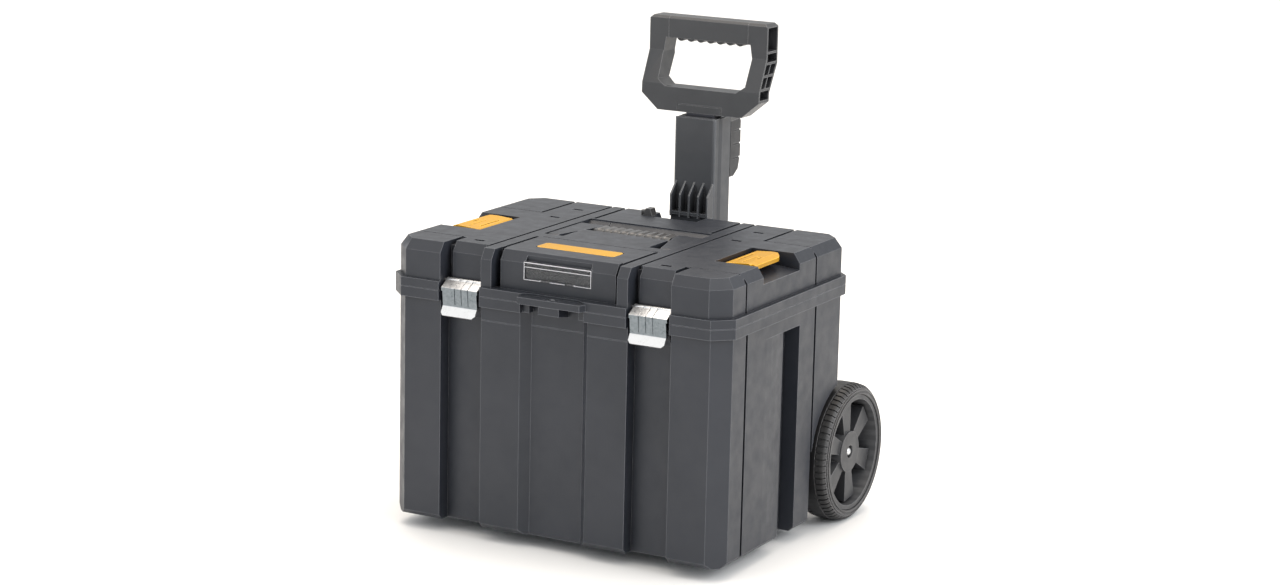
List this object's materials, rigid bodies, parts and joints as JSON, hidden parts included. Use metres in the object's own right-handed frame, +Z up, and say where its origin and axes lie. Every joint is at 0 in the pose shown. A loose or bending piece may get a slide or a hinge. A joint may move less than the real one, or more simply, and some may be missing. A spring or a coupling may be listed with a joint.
{
  "type": "rolling tool box",
  "caption": "Deep rolling tool box with a hinged lid, metal front latches, folding side latches, a folding carry handle, two spoked wheels and a telescopic pull mast with a closed grip.",
  "frame": {"origin": "on the floor, under the middle of the whole object's box", "axes": "+X to the object's right seen from its back-facing front (the viewer's right when facing the latches), +Y from the latches to the mast, +Z up"},
  "size_m": [0.474, 0.4186, 0.5861],
  "materials": {
    "shell_plastic": "fine grained",
    "mast_plastic": "fine grained, a little lighter than the shells",
    "grip_plastic": "fine grained, a little lighter than the shells",
    "trim_plastic": "fine grained, darker",
    "yellow_plastic": "satin",
    "zinc_steel": "bright zinc plated",
    "soft_rubber": "matt",
    "tyre_rubber": "matt",
    "wheel_plastic": "fine grained",
    "clear_plastic": "clear moulded window",
    "card_grey": "plain card",
    "natural_nylon": "natural",
    "mast_metal": "black anodised"
  },
  "bodies": {
    "body": {"body_shell": "shell_plastic", "hinge_bracket_left": "trim_plastic", "hinge_bracket_right": "trim_plastic", "hinge_pins": "zinc_steel", "bracket_screws": "zinc_steel", "axle_beam": "trim_plastic", "beam_screws": "zinc_steel", "axle": "zinc_steel", "axle_caps": "zinc_steel", "axle_spacers": "natural_nylon", "front_foot_left": "trim_plastic", "front_foot_right": "trim_plastic", "foot_pads": "soft_rubber", "foot_screws": "zinc_steel", "mast_sleeve": "mast_plastic", "mast_guide": "mast_plastic", "sleeve_screws": "zinc_steel", "release_pin": "zinc_steel", "release_spring": "zinc_steel"},
    "lid": {"lid_shell": "shell_plastic", "lid_seal": "soft_rubber", "front_latch_pins": "zinc_steel", "side_latch_pins": "zinc_steel", "handle_pins": "zinc_steel", "label_card": "card_grey", "label_window": "clear_plastic", "badge_plate": "yellow_plastic", "rear_knob": "soft_rubber"},
    "front_latch_left": {"front_latch_left": "zinc_steel"},
    "front_latch_right": {"front_latch_right": "zinc_steel"},
    "side_latch_left": {"side_latch_left": "yellow_plastic"},
    "side_latch_right": {"side_latch_right": "yellow_plastic"},
    "carry_handle": {"carry_handle": "shell_plastic", "carry_grip": "soft_rubber"},
    "mast": {"inner_mast": "mast_metal", "mast_glide": "natural_nylon", "grip_frame": "grip_plastic", "grip_cover": "grip_plastic", "grip_screws": "zinc_steel"},
    "release_lever": {"release_lever": "trim_plastic"},
    "lock_bolt": {"lock_bolt": "zinc_steel"},
    "wheel_left": {"wheel_rim_left": "wheel_plastic", "tyre_left": "tyre_rubber", "wheel_bush_left": "natural_nylon"},
    "wheel_right": {"wheel_rim_right": "wheel_plastic", "tyre_right": "tyre_rubber", "wheel_bush_right": "natural_nylon"}
  },
  "joints": [
    {"name": "lid_hinge", "type": "hinge", "parent": "body", "child": "lid", "pos_m": [0, 0.12925, 0.3396], "axis": [-1, 0, 0], "range_deg": [0, 70]},
    {"name": "front_latch_left_pivot", "type": "hinge", "parent": "lid", "child": "front_latch_left", "pos_m": [-0.12475, -0.18575, 0.3056], "axis": [-1, 0, 0], "range_deg": [0, 105]},
    {"name": "front_latch_right_pivot", "type": "hinge", "parent": "lid", "child": "front_latch_right", "pos_m": [0.12475, -0.18575, 0.3056], "axis": [-1, 0, 0], "range_deg": [0, 105]},
    {"name": "side_latch_left_pivot", "type": "hinge", "parent": "lid", "child": "side_latch_left", "pos_m": [-0.164, -0.05725, 0.3426], "axis": [0, 1, 0], "range_deg": [0, 90]},
    {"name": "side_latch_right_pivot", "type": "hinge", "parent": "lid", "child": "side_latch_right", "pos_m": [0.164, -0.05725, 0.3426], "axis": [0, -1, 0], "range_deg": [0, 90]},
    {"name": "carry_handle_pivot", "type": "hinge", "parent": "lid", "child": "carry_handle", "pos_m": [0, -0.06675, 0.3416], "axis": [1, 0, 0], "range_deg": [0, 90]},
    {"name": "mast_slide", "type": "slide", "parent": "body", "child": "mast", "axis": [0, 0, 1], "range_m": [0, 0.33]},
    {"name": "release_lever_pivot", "type": "hinge", "parent": "body", "child": "release_lever", "pos_m": [0, 0.19025, 0.4546], "axis": [1, 0, 0], "range_deg": [0, 14], "stiffness_Nm_per_rad": 0.4, "springref_deg": -11.46},
    {"name": "lock_bolt_slide", "type": "slide", "parent": "body", "child": "lock_bolt", "axis": [0, 1, 0], "range_m": [0, 0.011]},
    {"name": "wheel_left_spin", "type": "hinge", "parent": "body", "child": "wheel_left", "pos_m": [-0.214, 0.12525, 0.084], "axis": [1, 0, 0], "continuous": true},
    {"name": "wheel_right_spin", "type": "hinge", "parent": "body", "child": "wheel_right", "pos_m": [0.214, 0.12525, 0.084], "axis": [1, 0, 0], "continuous": true}
  ],
  "couplings": [
    {"joint": "lock_bolt_slide", "follows": "release_lever_pivot", "m_per_rad": 0.044}
  ]
}
